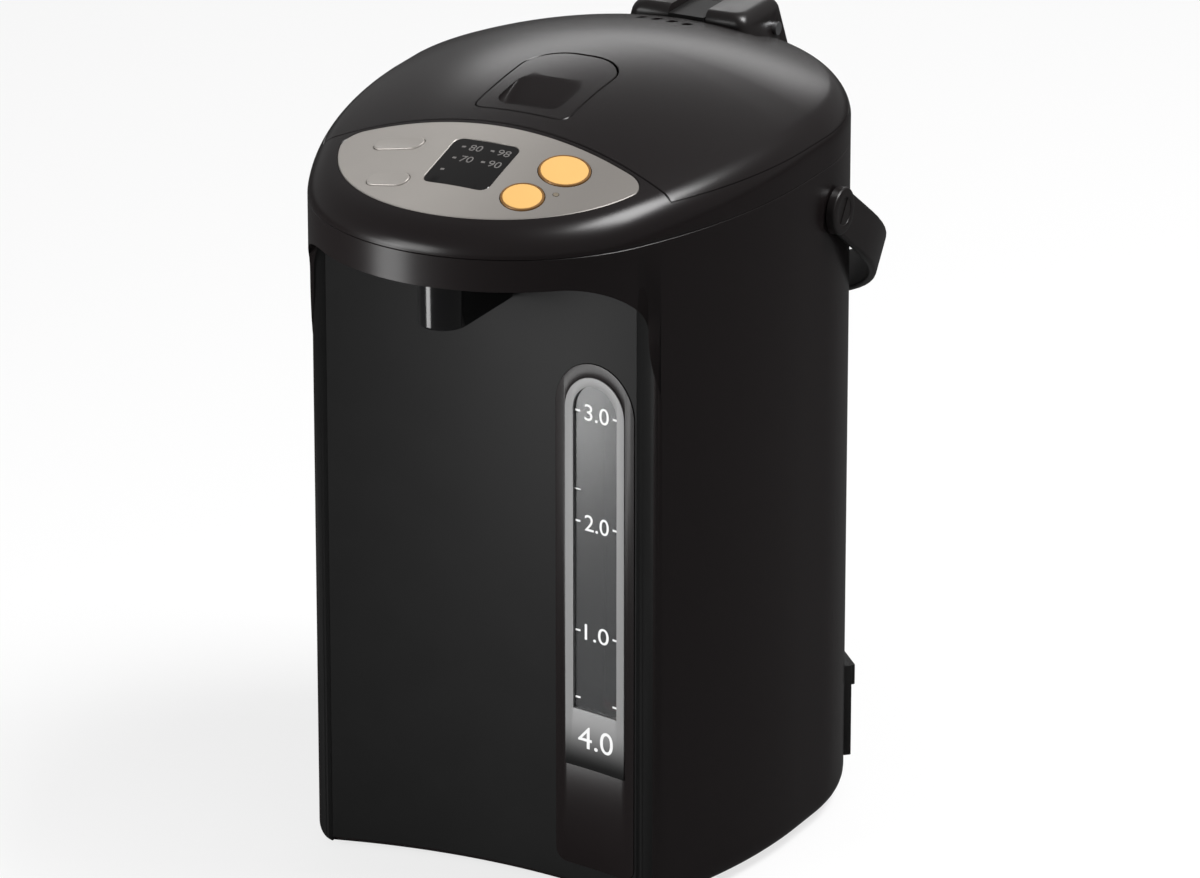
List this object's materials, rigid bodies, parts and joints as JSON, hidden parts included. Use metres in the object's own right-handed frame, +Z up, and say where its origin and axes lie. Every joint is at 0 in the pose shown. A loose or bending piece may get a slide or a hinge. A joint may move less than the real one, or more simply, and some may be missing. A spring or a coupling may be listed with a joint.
{
  "type": "electric thermo pot",
  "caption": "Tall electric hot-water pot with a concave front, a water gauge, a spout under the beak, a control panel, a hinged lid, a bail handle and a turntable base.",
  "frame": {"origin": "on the ground, at the centre of the footprint box of the whole pot with its handle hanging at the back", "axes": "+Z up, +X to the right seen from the front, the front with the spout faces -Y"},
  "size_m": [0.2186, 0.305, 0.352],
  "materials": {
    "case": "gloss brown-black",
    "panel": "satin neutral black",
    "gauge_grey": "satin grey",
    "gauge_window": "tinted clear",
    "sight_tube": "clear",
    "silicone": "matte",
    "marker": "dark red",
    "base": "textured black",
    "steel": "plain",
    "inner": "matte dark",
    "silver": "satin warm silver",
    "display": "gloss black",
    "lens": "frosted",
    "board": "green board",
    "stainless": "brushed",
    "felt": "felt",
    "ceramic": "ceramic",
    "pump": "white moulding",
    "gloss": "gloss black",
    "pins": "plated",
    "trim": "satin black",
    "gold": "satin gold",
    "feet": "matte"
  },
  "bodies": {
    "pot": {"outer_case": "case", "front_panel": "panel", "gauge_cover": "case", "gauge_frame": "gauge_grey", "gauge_window": "gauge_window", "sight_tube": "sight_tube", "tube_seals": "silicone", "level_marker": "marker", "bottom_cover": "base", "base_screws": "steel", "head_cover": "case", "head_deck": "inner", "control_panel": "silver", "display_window": "display", "indicator_lens": "lens", "control_board": "board", "button_switches": "inner", "tank": "stainless", "tank_seal": "silicone", "insulation_jacket": "felt", "heater_plate": "steel", "temperature_sensor": "steel", "thermal_fuse": "ceramic", "tank_strainer": "stainless", "pump_housing": "pump", "pump_motor": "steel", "inlet_hose": "silicone", "riser_hose": "silicone", "outlet_pipe": "silicone", "valve_housing": "pump", "spout_cover": "gloss", "spout_tube": "pump", "power_board": "board", "inlet_frame": "base", "inlet_socket": "base", "inlet_pins": "pins", "handle_bushings": "inner", "hinge_housing": "trim", "hinge_pin": "steel", "swivel_washer": "steel"},
    "lid": {"lid_shell": "case", "lid_base": "inner", "lid_liner": "stainless", "lid_gasket": "silicone", "steam_chamber": "inner", "hinge_arm": "trim", "flap_pin": "steel"},
    "release_flap": {"lid_release": "case"},
    "latch": {"latch_bolt": "inner"},
    "dispense_button": {"dispense_button": "gold"},
    "drip_button": {"drip_button": "gold"},
    "select_button": {"select_button": "silver"},
    "repeat_button": {"repeat_button": "silver"},
    "handle": {"carry_handle": "trim"},
    "turntable": {"swivel_base": "base", "rubber_feet": "feet"},
    "impeller": {"pump_impeller": "pump"}
  },
  "joints": [
    {"name": "lid_hinge", "type": "hinge", "parent": "pot", "child": "lid", "pos_m": [0, 0.12501, 0.334], "axis": [-1, 0, 0], "range_deg": [0, 85]},
    {"name": "flap_lift", "type": "hinge", "parent": "lid", "child": "release_flap", "pos_m": [0, -0.008, 0.34679], "axis": [-1, 0, 0], "range_deg": [0, 25], "stiffness_Nm_per_rad": 0.2, "springref_deg": -5.73},
    {"name": "latch_slide", "type": "slide", "parent": "lid", "child": "latch", "axis": [0, 1, 0], "range_m": [0, 0.004]},
    {"name": "dispense_button_press", "type": "slide", "parent": "pot", "child": "dispense_button", "axis": [-0.1658, 0.2498, -0.954], "range_m": [0, 0.001], "stiffness_N_per_m": 900, "springref_m": -0.001},
    {"name": "drip_button_press", "type": "slide", "parent": "pot", "child": "drip_button", "axis": [-0.1329, 0.2973, -0.9455], "range_m": [0, 0.001], "stiffness_N_per_m": 900, "springref_m": -0.001},
    {"name": "repeat_button_press", "type": "slide", "parent": "pot", "child": "repeat_button", "axis": [0.1666, 0.2499, -0.9538], "range_m": [0, 0.001], "stiffness_N_per_m": 900, "springref_m": -0.001},
    {"name": "select_button_press", "type": "slide", "parent": "pot", "child": "select_button", "axis": [0.1261, 0.304, -0.9443], "range_m": [0, 0.001], "stiffness_N_per_m": 900, "springref_m": -0.001},
    {"name": "handle_swing", "type": "hinge", "parent": "pot", "child": "handle", "pos_m": [0, 0.03601, 0.287], "axis": [1, 0, 0], "range_deg": [0, 145]},
    {"name": "turntable_swivel", "type": "hinge", "parent": "pot", "child": "turntable", "pos_m": [0, 0.017, 0], "axis": [0, 0, 1], "continuous": true},
    {"name": "impeller_spin", "type": "hinge", "parent": "pot", "child": "impeller", "pos_m": [0, -0.0332, 0.045], "axis": [0, 0, 1], "continuous": true}
  ],
  "couplings": [
    {"joint": "latch_slide", "follows": "flap_lift", "m_per_rad": 0.0091}
  ]
}
